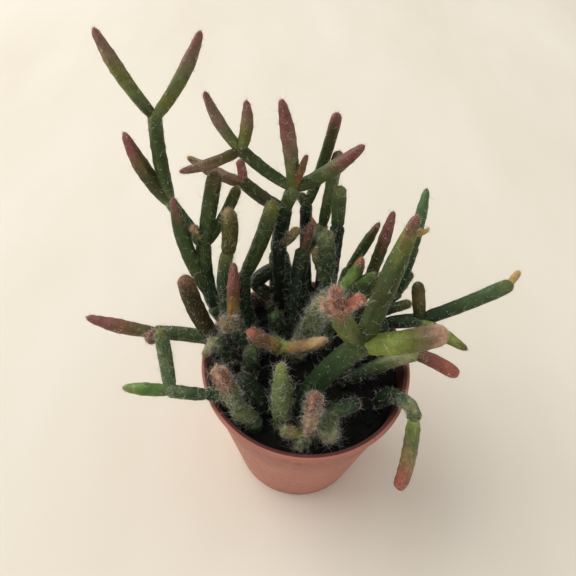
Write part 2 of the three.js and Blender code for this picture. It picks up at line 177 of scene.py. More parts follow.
# Colours, as red, green and blue out of 255.
POT_COLOUR = (183, 121, 105)
# Painted shade: the darker colour of the pot's inner wall and the top of its rim.
SHADED_INSIDE_COLOUR = (94, 51, 43)
PEAT_COLOURS = ((7, 6, 5), (22, 17, 14))
CRUMB_COLOURS = ((12, 10, 8), (40, 30, 24))
FIBRE_COLOURS = ((30, 22, 16), (66, 48, 34))
TABLE_COLOURS = ((232, 224, 208), (240, 233, 220))
HAIR_COLOURS = {"pale_hair": (244, 243, 228), "tan_hair": (224, 196, 172)}
SKIN_COLOURS = {
    # black is painted shade: the near-black of shoots in deep shade among the other stems.
    "black": (12, 20, 8),
    "pine": (26, 44, 20),
    "bottle": (36, 60, 26),
    "blue": (44, 72, 46),
    "leaf": (70, 86, 42),
    "fresh": (90, 122, 56),
    "spring": (126, 146, 84),
    "lime": (140, 152, 76),
    "sage": (104, 116, 70),
    "hoary": (76, 98, 62),
    "frost": (162, 162, 120),
    "olive": (112, 114, 50),
    "moss": (66, 68, 26),
    "khaki": (84, 82, 26),
    "umber": (60, 52, 22),
    "bark": (104, 88, 50),
    "amber": (168, 136, 74),
    "straw": (196, 166, 112),
    "tan": (152, 130, 86),
    "clay": (136, 100, 70),
    "mulberry": (124, 86, 62),
    "rose": (168, 100, 84),
    "blush": (196, 156, 130),
    "plum": (136, 86, 80),
    "taupe": (134, 112, 90),
    "jade": (86, 114, 70),
}

# Tints laid over the colours, as the light values that a shader takes.
DUST_TINT = (0.42, 0.34, 0.27)
SPECK_TINT = (0.06, 0.035, 0.025)
# The crease tint is painted shade, laid in the hollows of the creases.
CREASE_SHADE_TINT = (0.02, 0.03, 0.012)
FLECK_TINT = (0.26, 0.30, 0.16)
FELT_TINT = (0.30, 0.37, 0.24)

# Each stem material's flecks, the depth of its creases and how far light enters it.
SKIN_LOOKS = {
    "stem_green": (0.25, 0.35, 0.05),
    "stem_dark": (0.2, 0.35, 0.03),
    "stem_grey": (0.3, 0.6, 0.04),
    "stem_olive": (0.3, 0.5, 0.08),
    "stem_purple": (0.3, 0.45, 0.05),
}


def shoot(base, to, width, tip, skin, bow=(0, 0, 0), down=0.12, at=None):
    """One shoot: what it grows from, its far end, its colours from base to tip and its downiness.

    It grows from the end of its base, or part of the way along it where at says so. A bow
    pushes its middle aside.
    """
    return {
        "base": base,
        "to": np.array(to, float),
        "width": width,
        "tip": tip,
        "skin": [SKIN_COLOURS[name] for name in skin.split()],
        "bow": np.array(bow, float),
        "down": down,
        "at": at,
    }


def stem(foot, slot, **shoots):
    """One stem: where it leaves the soil, its material and its shoots by letter."""
    return {"foot": foot, "slot": slot, "shoots": shoots}


# The stems, roughly from the front to the back. Their black stops are painted shade, where shoots sit in
# deep shade among the others.
STEMS = {
    "stem_front_left": stem(
        (-13.2, -19), "stem_olive",
        a=shoot("foot", (-18.5, -18, 56), 4.6, "joint", "hoary sage sage", down=0.5),
        b=shoot("a", (-23, -14.5, 70), 4.2, "blunt", "sage sage sage clay rose blush", down=0.7),
    ),
    "stem_front_dark": stem(
        (-10, -14), "stem_dark",
        a=shoot("foot", (-18, -10.5, 60), 4.8, "blunt", "pine pine pine", down=0.2),
    ),
    "stem_front_green": stem(
        (-6, -19), "stem_olive",
        a=shoot("foot", (-7, -11.5, 69), 5, "point", "leaf leaf sage sage sage lime", (0, -2, 0), 0.45),
        b=shoot("foot", (-4.5, -12.5, 62), 3.1, "blunt", "hoary leaf bottle", down=0.3),
    ),
    "stem_front_pink": stem(
        (1, -22), "stem_grey",
        a=shoot("foot", (2, -18.5, 67), 3.7, "blunt", "tan blush blush plum rose", down=0.9),
        b=shoot("foot", (-6, -23.5, 55.5), 3.4, "blunt", "frost frost olive tan sage", down=0.5),
        c=shoot("foot", (-2, -26, 51.8), 3.4, "blunt", "frost frost sage sage hoary", down=0.8),
    ),
    "stem_front_hoary": stem(
        (5.5, -16.5), "stem_grey",
        a=shoot("foot", (7, -24.5, 52.5), 5.8, "blunt", "frost sage sage frost", (0, 0, 1), 1),
        b=shoot("foot", (15, -13, 53), 4.1, "blunt", "sage sage hoary blue pine", (0, 0, 1), 0.5),
    ),
    "stem_over_front_rim": stem(
        (20.5, -11.5), "stem_dark",
        a=shoot("foot", (24.5, -13, 59), 3.7, "joint", "black black pine pine bottle", (-1, 0, 1), 0.3),
        b=shoot("a", (28.5, -19, 55.5), 3.7, "joint", "blue hoary frost sage hoary", (1.5, 0, 1), 0.6),
        c=shoot("b", (28.5, -28, 32), 4, "blunt", "lime sage tan rose rose", (0.5, -1, 0), 0.2),
    ),
    "stem_over_left_rim": stem(
        (-18.5, -12), "stem_dark",
        a=shoot("foot", (-27, -15.5, 57), 3.5, "joint", "hoary hoary bottle", (0, 0, 1.5), 0.6),
        b=shoot("a", (-37.5, -13.5, 55), 3.5, "joint", "leaf bottle leaf leaf sage", (0, -0.5, 0.5), 0.3),
        c=shoot("b", (-49.5, -13.5, 55), 3.5, "point", "sage fresh fresh spring spring"),
        d=shoot("b", (-41, 1, 63), 4.1, "blunt", "sage hoary sage hoary olive", (0, 0, -1.5), 0.4),
    ),
    "stem_centre_short": stem(
        (-16, -7.5), "stem_grey",
        a=shoot("foot", (-15.5, -1.5, 61), 4.4, "blunt", "black pine pine bottle sage", down=0.4),
    ),
    "stem_left_purple": stem(
        (-21, 0), "stem_purple",
        a=shoot("foot", (-27.5, 3, 58), 4.6, "joint", "umber pine bottle hoary hoary", down=0.6),
        b=shoot("a", (-34, 8.5, 77), 4.9, "blunt", "moss umber umber umber mulberry", (-1, 0, -1), 0.25),
        c=shoot("a", (-44.5, 3.5, 57), 4.3, "joint", "bottle leaf leaf bottle", (0, 0, 1), 0.3),
        d=shoot("c", (-63.5, 5.5, 60), 4, "point", "moss bark mulberry plum plum", (0, 0, -1), 0.15),
        e=shoot("c", (-44.5, -1, 59.5), 4, "blunt", "frost tan tan plum plum", down=0.6),
        f=shoot("a", (-26, -3, 63), 2.7, "blunt", "moss moss sage frost frost", down=0.9),
        g=shoot("a", (-29, -3, 56), 2.6, "blunt", "hoary sage frost frost tan", down=0.5),
    ),
    "stem_left_fat": stem(
        (-15, 1), "stem_green",
        a=shoot("foot", (-22, 5.5, 64), 4, "joint", "pine pine bottle hoary", down=0.5),
        b=shoot("a", (-23.5, 19, 77), 3.9, "joint", "bottle bottle bottle leaf olive", (-2, 0, -1), 0.35),
        c=shoot("b", (-23.5, 22.5, 89), 4.5, "blunt", "khaki khaki khaki khaki tan", (0.7, 0, 0), 0.35),
        d=shoot("a", (-21, 11, 80.5), 3.4, "point", "bark amber mulberry plum plum"),
        e=shoot("a", (-22, -1.5, 71), 4.2, "blunt", "clay clay clay clay tan", (0, 0, -1), 0.8),
    ),
    "stem_far_left": stem(
        (-20, 8), "stem_green",
        a=shoot("foot", (-28, 11, 62), 4.6, "joint", "pine bottle leaf", down=0.4),
        b=shoot("a", (-31, 23, 76), 4.5, "joint", "pine bottle bottle leaf leaf", (-1.2, 0, 0), 0.25),
        c=shoot("b", (-41.5, 30.5, 84), 3.7, "joint", "leaf leaf leaf sage"),
        d=shoot("c", (-44.5, 42, 104), 3.8, "joint", "sage leaf leaf leaf sage", (-0.8, 0, 0)),
        e=shoot("d", (-58.5, 49.5, 122), 3.8, "point", "moss sage olive taupe plum", (-0.8, 0, -0.8)),
        f=shoot("d", (-31, 46.5, 124), 3.8, "point", "sage olive sage taupe plum", (0.8, 0, -0.8)),
        g=shoot("c", (-52.5, 38, 100), 4.3, "point", "sage moss moss bark plum plum", (-1, 0, -1)),
        h=shoot("b", (-27.5, 31, 94.5), 4.5, "blunt", "leaf leaf leaf moss bark", down=0.25),
        i=shoot("b", (-22, 33, 88), 3.4, "blunt", "leaf leaf khaki", (0.5, 0, -1)),
        j=shoot("b", (-38.5, 25.5, 89), 4.3, "point", "bottle leaf leaf leaf plum", (-1.5, 0, -1), at=0.2),
        k=shoot("b", (-33.5, 22, 82.5), 2.3, "blunt", "hoary hoary sage tan blush", down=0.7),
    ),
    "stem_centre_yellow": stem(
        (-13, 5.5), "stem_olive",
        a=shoot("foot", (-6.5, -3, 62), 4.1, "joint", "leaf leaf lime", (-0.5, 0.5, 2), 0.3),
        b=shoot("a", (-16, -3, 70), 3.7, "blunt", "khaki amber clay clay rose", (0, 0, -1), 0.4),
        c=shoot("a", (4.5, -3.5, 69), 3.7, "point", "lime amber clay straw blush", (0, 0, -1.5), 0.45),
    ),
    "stem_near_right": stem(
        (-1, -13), "stem_green",
        a=shoot("foot", (13, -11, 80), 5.7, "joint", "pine bottle bottle leaf", (-1.5, 0, 1), 0.1),
        b=shoot("a", (21.5, 7, 104), 5.1, "point", "moss leaf moss leaf olive plum", down=0.06),
        c=shoot("a", (30.5, -11.5, 86), 5.4, "blunt", "lime lime lime olive taupe blush", (0, 0, -1.5), 0.1),
        d=shoot("a", (5, -11.5, 93), 4.8, "joint", "leaf leaf olive sage clay", (-1, 0, -0.5)),
        e=shoot("d", (1, -14, 97.5), 2.8, "blunt", "mulberry rose rose blush", down=0.8),
        f=shoot("d", (3.5, -9.5, 97.5), 2.9, "blunt", "mulberry rose rose rose", down=0.8),
        g=shoot("d", (9.5, -12, 97.5), 2.6, "blunt", "plum rose rose rose", down=0.6),
        h=shoot("b", (25, 7, 100.5), 1.4, "point", "tan amber straw", (0.5, 0, -1), at=0.88),
    ),
    "stem_right_low": stem(
        (11, -5), "stem_dark",
        a=shoot("foot", (31.5, 0, 60), 4.2, "joint", "black pine leaf frost olive", (0, 0, 1.5), 0.3),
        b=shoot("a", (42, -5, 57), 4.1, "blunt", "bark plum rose rose", (0, 0, 0.8)),
    ),
    "stem_over_right_rim": stem(
        (18, 5), "stem_dark",
        a=shoot("foot", (24, 13, 57.5), 4.2, "joint", "pine pine bottle", down=0.3),
        b=shoot("a", (33.5, 10, 62), 4, "joint", "black pine bottle blue leaf", down=0.2),
        c=shoot("b", (57, 17, 72), 4.4, "blunt", "pine bottle leaf hoary sage", (0, 0, -1)),
        d=shoot("b", (29.5, 14.5, 73), 3.6, "blunt", "bottle moss bark moss"),
        e=shoot("b", (44.5, 1, 61), 3.4, "point", "sage lime lime lime bark"),
        f=shoot("c", (58.5, 19.5, 74.5), 2.2, "blunt", "straw straw straw"),
    ),
    "stem_young": stem(
        (-8, 8.5), "stem_olive",
        a=shoot("foot", (-10, 11.5, 60), 3.9, "blunt", "bottle pine pine bottle fresh", down=0.5),
        b=shoot("foot", (-11.5, 13.5, 62), 2.6, "blunt", "pine pine pine", (0, 0, -1), 0.3),
    ),
    "stem_middle_hoary": stem(
        (-3, 4), "stem_grey",
        a=shoot("foot", (4.5, 5.5, 76), 5.8, "blunt", "leaf leaf sage sage tan", down=0.8),
    ),
    "stem_bright_pair": stem(
        (6, 7), "stem_green",
        a=shoot("foot", (7, 12, 71), 4, "joint", "bottle leaf olive", down=0.25),
        b=shoot("a", (12.5, 13, 83), 3.8, "point", "fresh fresh spring fresh rose", (1, 0, -1)),
        c=shoot("a", (16, 10.5, 80), 3.8, "point", "sage leaf leaf fresh", (0.5, 0, -1)),
    ),
    "stem_middle_tall": stem(
        (-4.5, 11), "stem_green",
        a=shoot("foot", (-2.5, 23.5, 75), 4.4, "joint", "black pine pine pine leaf", (-0.5, 0, 0), 0.3),
        b=shoot("a", (-1, 26, 82), 2.8, "blunt", "bark mulberry plum", down=0.4),
    ),
    "stem_middle_back": stem(
        (0, 12), "stem_grey",
        a=shoot("foot", (6, 17, 67), 3.9, "joint", "pine pine pine", (-1, 0, 0), 0.3),
        b=shoot("a", (3, 21.5, 84), 4.6, "blunt", "bottle bottle bottle leaf sage", down=0.4),
        c=shoot("a", (0.5, 21, 77.5), 3.4, "blunt", "bottle leaf moss tan", (0.5, -1, -0.5), 0.4),
    ),
    "stem_middle_black": stem(
        (-8, 15.5), "stem_dark",
        a=shoot("foot", (-9.5, 21, 79), 3.5, "joint", "black black black", (-0.5, 0, 0)),
        b=shoot("a", (-4.5, 23, 83), 2.9, "blunt", "umber umber bark tan", (0, 0, -0.8), 0.4),
    ),
    "stem_back_pale": stem(
        (-17, 12.5), "stem_grey",
        a=shoot("foot", (-19.5, 20, 67), 4.3, "joint", "bottle bottle pine moss", (-1, 0, 0), 0.4),
        b=shoot("a", (-11.5, 26.5, 89), 4.4, "blunt", "blue leaf leaf leaf olive", (0.5, 0, -1), 0.25),
    ),
    "stem_back_spreading": stem(
        (-10, 19.5), "stem_green",
        a=shoot("foot", (-10.5, 26, 70), 4.2, "joint", "pine pine bottle", (0, 1.5, 0), 0.3),
        b=shoot("a", (-8.5, 30, 85), 4.6, "joint", "bottle bottle pine pine bottle"),
        c=shoot("b", (-6, 30.5, 92), 4, "joint", "leaf leaf sage sage", down=0.3),
        d=shoot("c", (-10.5, 31.5, 116), 3.7, "point", "olive sage taupe plum plum", (0.5, 0, 0)),
        e=shoot("c", (-3.5, 29, 102.5), 2.3, "point", "amber clay clay mulberry"),
        f=shoot("c", (11, 32.5, 104), 3.9, "point", "moss leaf sage plum plum", (0, 0, -1.5)),
        g=shoot("c", (-21.5, 33, 101), 3.4, "joint", "sage leaf leaf moss", (0, 0, -1)),
        h=shoot("g", (-29.5, 36.5, 114), 3.1, "point", "olive sage taupe taupe plum", (-0.8, 0, -0.8)),
        i=shoot("g", (-19, 33.5, 114), 3.1, "point", "sage olive taupe plum", (0.8, 0, 0)),
        j=shoot("g", (-36, 26.5, 97), 3, "point", "moss bark taupe plum", (0, 0, -0.8)),
        k=shoot("b", (-21.5, 37, 87), 3.8, "joint", "bottle moss moss", (0, 0, -1)),
        l=shoot("k", (-37, 41, 91), 3.4, "point", "mulberry taupe clay tan", (0, 0, -1)),
        m=shoot("k", (-22, 40, 92), 2.5, "blunt", "plum rose plum", down=0.4),
        n=shoot("a", (-18, 22, 58), 4.6, "joint", "bottle pine pine", (0, 0, 1), 0.3, at=0.7),
        o=shoot("n", (-10.8, 20.5, 53), 4.2, "blunt", "bottle moss umber", (0, 0, 0.5), 0.3),
    ),
    "stem_back_tall": stem(
        (0, 20), "stem_dark",
        a=shoot("foot", (-2, 33, 64), 3.8, "joint", "pine pine black pine", (0, 1, 0)),
        b=shoot("a", (-2.5, 34.5, 82), 3.5, "joint", "pine pine black bottle"),
        c=shoot("b", (4, 42, 107), 3.3, "blunt", "leaf leaf leaf moss plum", (0.5, 0, -0.5)),
        d=shoot("b", (-4.5, 34, 86), 2.6, "blunt", "leaf leaf leaf", down=0.4),
        e=shoot("a", (3, 30.5, 78), 3.5, "joint", "bottle leaf sage frost sage"),
        f=shoot("e", (5.5, 39.5, 97), 3.4, "blunt", "leaf leaf sage sage taupe"),
    ),
    "stem_back_dark": stem(
        (6, 18), "stem_dark",
        a=shoot("foot", (6.5, 26.5, 82), 3.8, "joint", "black black pine"),
        b=shoot("a", (6, 29.5, 93), 3.7, "blunt", "bottle leaf leaf sage", down=0.15),
    ),
    "stem_back_right": stem(
        (10.3, 14.6), "stem_green",
        a=shoot("foot", (16.5, 20, 58), 3.8, "joint", "pine leaf leaf", down=0.3),
        b=shoot("a", (26, 27.5, 67), 3.2, "point", "leaf sage olive"),
        c=shoot("a", (21.5, 28.5, 86), 3.3, "point", "leaf leaf moss moss plum plum", (0.5, 0, 0)),
    ),
    "stem_back_slender": stem(
        (14.5, 15.5), "stem_green",
        a=shoot("foot", (27.5, 20, 62), 3.3, "joint", "bottle leaf leaf", down=0.3),
        b=shoot("a", (30, 28, 74), 3.2, "joint", "bottle bottle leaf"),
        c=shoot("b", (32.5, 40.5, 85), 3.5, "point", "leaf leaf jade jade"),
        d=shoot("a", (30.5, 24.5, 66), 2.7, "blunt", "sage hoary leaf", down=0.3),
        e=shoot("foot", (31, 17.5, 60), 3, "blunt", "bottle bottle bottle olive", (0, 0, 1), 0.3),
    ),
    "stem_rear_left": stem(
        (-5, 21.5), "stem_dark",
        a=shoot("foot", (-9.5, 35.5, 61), 4.2, "joint", "pine pine pine", (0, 0, 2), 0.4),
        b=shoot("a", (-10, 42, 67), 4, "blunt", "leaf leaf olive tan", (0, 0, -1)),
    ),
    "stem_rear_centre": stem(
        (3.5, 22), "stem_dark",
        a=shoot("foot", (5, 37.5, 61), 4, "joint", "pine pine leaf", (0, 0, 3.5), 0.4),
        b=shoot("a", (-1, 47.5, 66), 3.8, "point", "leaf leaf mulberry rose", (0, 0, -1)),
    ),
    "stem_rear_right": stem(
        (9, 20.5), "stem_green",
        a=shoot("foot", (12.5, 29.5, 61), 3.8, "joint", "pine leaf leaf", (0, 0, 2), 0.3),
        b=shoot("a", (19.5, 33.5, 77), 3.2, "point", "olive leaf leaf plum"),
    ),
}


# Shared helpers

def linear(colour):
    """A colour out of 255 as the light values that a shader takes."""
    share = np.array(colour, float) / 255
    return np.where(share <= 0.04045, share / 12.92, ((share + 0.055) / 1.055) ** 2.4)


def paint(colour):
    """A colour out of 255 as a shader's opaque colour."""
    return (*linear(colour), 1)


def between(limits, count, rng, lean=1):
    """Random numbers between two limits, the more of them low the greater the lean."""
    low, high = limits
    return low + (high - low) * rng.random(count) ** lean


def read_off(where, places, rows):
    """Rows of three numbers, read off between the places that they belong to."""
    return np.stack([np.interp(where, places, rows[:, i]) for i in range(3)], axis=-1)


def unit(vectors):
    """Vectors at length one."""
    return vectors / np.maximum(np.linalg.norm(vectors, axis=-1, keepdims=True), 1e-9)


def ease(share):
    """A soft step from 0 to 1."""
    share = np.clip(share, 0, 1)
    return share * share * (3 - 2 * share)


def to_object(bm, name, materials):
    """Makes an object of a bmesh in metres, smooth, with its materials."""
    mesh = bpy.data.meshes.new(name)
    bm.to_mesh(mesh)
    bm.free()
    mesh.shade_smooth()
    for material in materials:
        mesh.materials.append(material)
    piece = bpy.data.objects.new(name, mesh)
    bpy.context.scene.collection.objects.link(piece)
    return piece


def pour(part, bm):
    """Moves a part's shape into another bmesh, by way of a mesh."""
    mesh = bpy.data.meshes.new("step")
    part.to_mesh(mesh)
    part.clear()
    bm.from_mesh(mesh)
    bpy.data.meshes.remove(mesh)


def cut_across(bm, cuts):
    """Cuts an upright shape of unit height into rings, through its long edges."""
    long_edges = [edge for edge in bm.edges if abs(edge.verts[0].co.z - edge.verts[1].co.z) > 0.5]
    bmesh.ops.subdivide_edges(bm, edges=long_edges, cuts=cuts)


def put_in_order(bm):
    """Lays a shape's parts one after another, so that they can be counted off."""
    pour(bm, bm)
    for parts in (bm.verts, bm.edges, bm.faces):
        parts.ensure_lookup_table()


def multiply(bm, count):
    """Fills a bmesh with count copies of the shape it holds, one after another."""
    verts, edges, faces = len(bm.verts), len(bm.edges), len(bm.faces)
    have = 1
    while have < count:
        more = min(have, count - have)
        whole = bm.verts[: more * verts] + bm.edges[: more * edges] + bm.faces[: more * faces]
        bmesh.ops.duplicate(bm, geom=whole)
        put_in_order(bm)
        have += more


def strew(name, template, count, place, materials):
    """One object of many copies of a template, each vertex put where place says."""
    put_in_order(template)
    shape = np.array([vert.co for vert in template.verts])
    multiply(template, count)
    piece = to_object(template, name, materials)
    piece.data.vertices.foreach_set("co", (place(shape) * MM).astype(np.float32).ravel())
    piece.data.update()
    return piece


def set_out(middles, axes, sizes):
    """A placing rule for copies that each have a middle, three directions and a size along each."""

    def place(shape):
        local = shape[None] * sizes[:, None]
        return middles[:, None] + sum(local[..., i, None] * axis[:, None] for i, axis in enumerate(axes))

    return place


def ball_template():
    """A small ball of unit radius."""
    bm = bmesh.new()
    bmesh.ops.create_icosphere(bm, subdivisions=1, radius=1)
    return bm


def strand_template(cuts):
    """A slender three-sided cone of unit length and unit foot radius, cut across to let it bend."""
    bm = bmesh.new()
    upright = Matrix.Translation((0, 0, 0.5))
    bmesh.ops.create_cone(bm, cap_ends=True, segments=3, radius1=1, radius2=0.12, depth=1, matrix=upright)
    cut_across(bm, cuts)
    top = [vert for vert in bm.verts if vert.co.z > 0.99]
    bmesh.ops.pointmerge(bm, verts=top, merge_co=(0, 0, 1))
    return bm


def bent_strands(roots, ways, leans, lengths, girths, wave=0.0):
    """A placing rule for strands that start along their way, lean over and wave from side to side."""
    across = unit(np.cross(ways, leans))
    beside = np.cross(ways, across)

    def place(shape):
        share = shape[None, :, 2:3]
        spine = ways[:, None] * share + leans[:, None] * share**2
        spine = spine + wave * np.sin(FULL_TURN * share) * across[:, None]
        flank = across[:, None] * shape[None, :, 0:1] + beside[:, None] * shape[None, :, 1:2]
        return roots[:, None] + spine * lengths[:, None, None] + flank * girths[:, None, None] / 2

    return place


# Materials

def feed(tree, node, inputs):
    """Gives a node's inputs their values, and links those that come from a socket."""
    for socket, value in inputs.items():
        if isinstance(value, bpy.types.NodeSocket):
            tree.links.new(value, node.inputs[socket])
        else:
            node.inputs[socket].default_value = value


def add_node(tree, kind, inputs=None, **settings):
    """A shader node with its settings and its inputs."""
    node = tree.nodes.new("ShaderNode" + kind)
    for name, value in settings.items():
        setattr(node, name, value)
    feed(tree, node, inputs or {})
    return node


def maths(tree, operation, first, second):
    """A Math node between two sockets or numbers; gives its result."""
    return add_node(tree, "Math", {0: first, 1: second}, operation=operation).outputs[0]


def times(tree, first, second):
    """The product of two sockets or numbers."""
    return maths(tree, "MULTIPLY", first, second)


def plus(tree, first, second):
    """The sum of two sockets or numbers."""
    return maths(tree, "ADD", first, second)


def blend_colours(tree, mask, first, second, mode="MIX"):
    """A colour mix between two sockets or colours by a mask; gives its result."""
    inputs = {0: mask, 6: first, 7: second}
    return add_node(tree, "Mix", inputs, data_type="RGBA", blend_type=mode).outputs[2]


def lay_over(tree, under, mask, share, tint):
    """A tint laid over a colour where a mask shows, at a share of its strength."""
    return blend_colours(tree, times(tree, mask, share), under, (*tint, 1))


def noise(tree, vector, scale, detail=3, roughness=0.6):
    """A noise pattern's value over a vector."""
    inputs = {"Vector": vector, "Scale": scale, "Detail": detail, "Roughness": roughness}
    return add_node(tree, "TexNoise", inputs).outputs["Fac"]


def spread(tree, value, low, high, new_low=0.0, new_high=1.0):
    """Stretches a value's range from low and high to new ones, clamped."""
    inputs = {"Value": value, "From Min": low, "From Max": high, "To Min": new_low, "To Max": new_high}
    return add_node(tree, "MapRange", inputs).outputs["Result"]


def dots(tree, vector, scale, full, edge):
    """A mask of round dots over a vector: 1 as far as full from their middles, 0 past edge."""
    cells = add_node(tree, "TexVoronoi", {"Vector": vector, "Scale": scale, "Randomness": 1})
    return spread(tree, cells.outputs["Distance"], full, edge, 1, 0)


def scaled(tree, vector, scale):
    """A vector stretched by a different number along each axis."""
    return add_node(tree, "Mapping", {"Vector": vector, "Scale": scale}).outputs["Vector"]


def bumped(tree, height, strength, depth):
    """The surface direction that a height pattern gives, at a strength and a depth in millimetres."""
    inputs = {"Height": height, "Strength": strength, "Distance": depth * MM}
    return add_node(tree, "Bump", inputs).outputs["Normal"]


def object_place(tree):
    """The place on the object, in metres."""
    return add_node(tree, "TexCoord").outputs["Object"]


def new_group(name, inputs, outputs):
    """A shader node group with named sockets; gives its tree, its input node and its output node."""
    tree = bpy.data.node_groups.new(name, "ShaderNodeTree")
    for direction, sockets in (("INPUT", inputs), ("OUTPUT", outputs)):
        for socket, kind in sockets.items():
            tree.interface.new_socket(socket, in_out=direction, socket_type="NodeSocket" + kind)
    return tree, tree.nodes.new("NodeGroupInput"), tree.nodes.new("NodeGroupOutput")


def new_material(name):
    """A material with a Principled shader; gives it, its tree and the shader."""
    material = bpy.data.materials.new(name)
    material.use_nodes = True
    tree = material.node_tree
    return material, tree, tree.nodes["Principled BSDF"]


def make_skin_group():
    """Stem skin: mottling, flecks, fine lines along the shoot, creases across it with painted shade in their
    hollows, and grey down.
    """
    tree, given, result = new_group(
        "Stem skin",
        {"Tone": "Color", "Down": "Float", "Place": "Vector", "Along": "Vector", "Fleck": "Float"},
        {"Color": "Color", "Roughness": "Float", "Height": "Float"},
    )
    place, along = given.outputs["Place"], given.outputs["Along"]
    broad = spread(tree, noise(tree, place, 420, 4), 0.3, 0.7, 0.74, 1.24)
    fine = spread(tree, noise(tree, place, 2600, 2), 0.25, 0.75, 0.86, 1.14)
    lines = noise(tree, scaled(tree, along, (2.6, 2.6, 0.35)), 1000, 3)
    shade = times(tree, times(tree, broad, fine), spread(tree, lines, 0.3, 0.7, 0.88, 1.12))
    skin = blend_colours(tree, 1.0, given.outputs["Tone"], shade, "MULTIPLY")
    creases = noise(tree, scaled(tree, along, (0.35, 0.35, 2.2)), 900, 3, 0.7)
    ridges = spread(tree, creases, 0.3, 0.52)
    # Painted shade: the hollows of the creases are darkened.
    skin = lay_over(tree, skin, maths(tree, "SUBTRACT", 1.0, ridges), 0.22, CREASE_SHADE_TINT)
    skin = lay_over(tree, skin, dots(tree, place, 1500, 0.1, 0.28), given.outputs["Fleck"], FLECK_TINT)
    felt = noise(tree, scaled(tree, along, (1.2, 1.2, 0.8)), 3400, 3, 0.75)
    felt = times(tree, spread(tree, felt, 0.42, 0.66), given.outputs["Down"])
    skin = lay_over(tree, skin, felt, 0.2, FELT_TINT)
    rough = plus(tree, spread(tree, broad, 0.74, 1.24, 0.4, 0.54), times(tree, felt, 0.3))
    height = plus(tree, times(tree, ridges, 0.6), times(tree, lines, 0.3))
    height = plus(tree, height, times(tree, felt, 0.35))
    feed(tree, result, {"Color": skin, "Roughness": rough, "Height": height})
    return tree


def make_skin(name, group, fleck, crease, depth):
    """One stem skin; its tone, down and place along the shoot come from the piece's own attributes."""
    material, tree, shader = new_material(name)
    given = {
        "Tone": add_node(tree, "Attribute", attribute_name="tone").outputs["Color"],
        "Down": add_node(tree, "Attribute", attribute_name="down").outputs["Fac"],
        "Along": add_node(tree, "Attribute", attribute_name="along").outputs["Vector"],
        "Place": object_place(tree),
        "Fleck": fleck,
    }
    skin = add_node(tree, "Group", given, node_tree=group)
    looks = {
        "Base Color": skin.outputs["Color"],
        "Roughness": skin.outputs["Roughness"],
        "Normal": bumped(tree, skin.outputs["Height"], crease, 0.12),
        "Subsurface Weight": depth,
        "Subsurface Scale": 0.8 * MM,
        "Specular IOR Level": 0.34,
    }
    feed(tree, shader, looks)
    return material


def make_hair(name, colour):
    """The plain finish of the bristles and the down."""
    material, tree, shader = new_material(name)
    feed(tree, shader, {"Base Color": paint(colour), "Roughness": 0.55})
    return material


def make_plastic():
    """The pot's matte red-brown plastic: fine grain, moulding lines, painted shade on the inside and the
    rim's top, dust and specks.
    """
    material, tree, shader = new_material("pot_plastic")
    place = object_place(tree)
    parts = add_node(tree, "SeparateXYZ", {0: place}).outputs
    height = parts["Z"]
    cloud = spread(tree, noise(tree, place, 60, 5), 0.3, 0.7, 0.9, 1.1)
    lines = spread(tree, noise(tree, scaled(tree, place, (1, 1, 0.04)), 900, 3), 0.3, 0.7, 0.99, 1.01)
    plastic = blend_colours(tree, 1.0, paint(POT_COLOUR), times(tree, cloud, lines), "MULTIPLY")
    across = add_node(tree, "CombineXYZ", {"X": parts["X"], "Y": parts["Y"]}).outputs[0]
    radius = add_node(tree, "VectorMath", {0: across}, operation="LENGTH").outputs["Value"]
    wall = maths(tree, "SUBTRACT", radius, times(tree, height, WALL_SLOPE))
    inside = spread(tree, wall, (BASE_RADIUS - 0.15) * MM, (BASE_RADIUS + 0.05) * MM, 1, 0)
    # Painted shade: the inner wall and the rim's top darken from 35 mm up, fully from 45 mm.
    inside_shade = times(tree, inside, spread(tree, height, 35 * MM, 45 * MM))
    plastic = blend_colours(tree, inside_shade, plastic, paint(SHADED_INSIDE_COLOUR))
    dust = spread(tree, noise(tree, place, 240, 6, 0.7), 0.52, 0.68, 0, 0.3)
    foot = spread(tree, height, 12 * MM, 0.0, 0.25, 1)
    plastic = lay_over(tree, plastic, dust, foot, DUST_TINT)
    specks = times(tree, dots(tree, place, 160, 0.03, 0.07), spread(tree, height, 30 * MM, 52 * MM))
    plastic = lay_over(tree, plastic, specks, 0.75, SPECK_TINT)
    rough = plus(tree, spread(tree, noise(tree, place, 500, 4), 0.3, 0.7, 0.42, 0.56), dust)
    looks = {
        "Base Color": plastic,
        "Roughness": rough,
        "Normal": bumped(tree, noise(tree, place, 1400, 3), 0.15, 0.05),
        "Subsurface Weight": 0.08,
        "Subsurface Scale": 1.2 * MM,
    }
    feed(tree, shader, looks)
    return material


def make_peat(name, colours):
    """Moist peat: near black, with browner crumbs and no gloss."""
    material, tree, shader = new_material(name)
    place = object_place(tree)
    clods = noise(tree, place, 900, 5, 0.7)
    grains = noise(tree, place, 3500, 3, 0.7)
    mask = times(tree, spread(tree, clods, 0.35, 0.7), spread(tree, grains, 0.3, 0.75))
    looks = {
        "Base Color": blend_colours(tree, mask, *map(paint, colours)),
        "Roughness": spread(tree, grains, 0.3, 0.7, 0.78, 1.0),
        "Normal": bumped(tree, plus(tree, clods, grains), 0.8, 0.25),
    }
    feed(tree, shader, looks)
    return material


def make_table():
    """The pale surface that the pot stands on."""
    material, tree, shader = new_material("pale_table")
    cloud = noise(tree, scaled(tree, object_place(tree), (1, 0.35, 1)), 12, 3)
    colour = blend_colours(tree, spread(tree, cloud, 0.3, 0.7), *map(paint, TABLE_COLOURS))
    feed(tree, shader, {"Base Color": colour, "Roughness": 0.7})
    return material


# Pot

def outer_radius(z):
    """The pot wall's outer radius at a height."""
    return BASE_RADIUS + WALL_SLOPE * z


def inner_radius(z):
    """The pot wall's inner radius at a height."""
    return outer_radius(z) - WALL


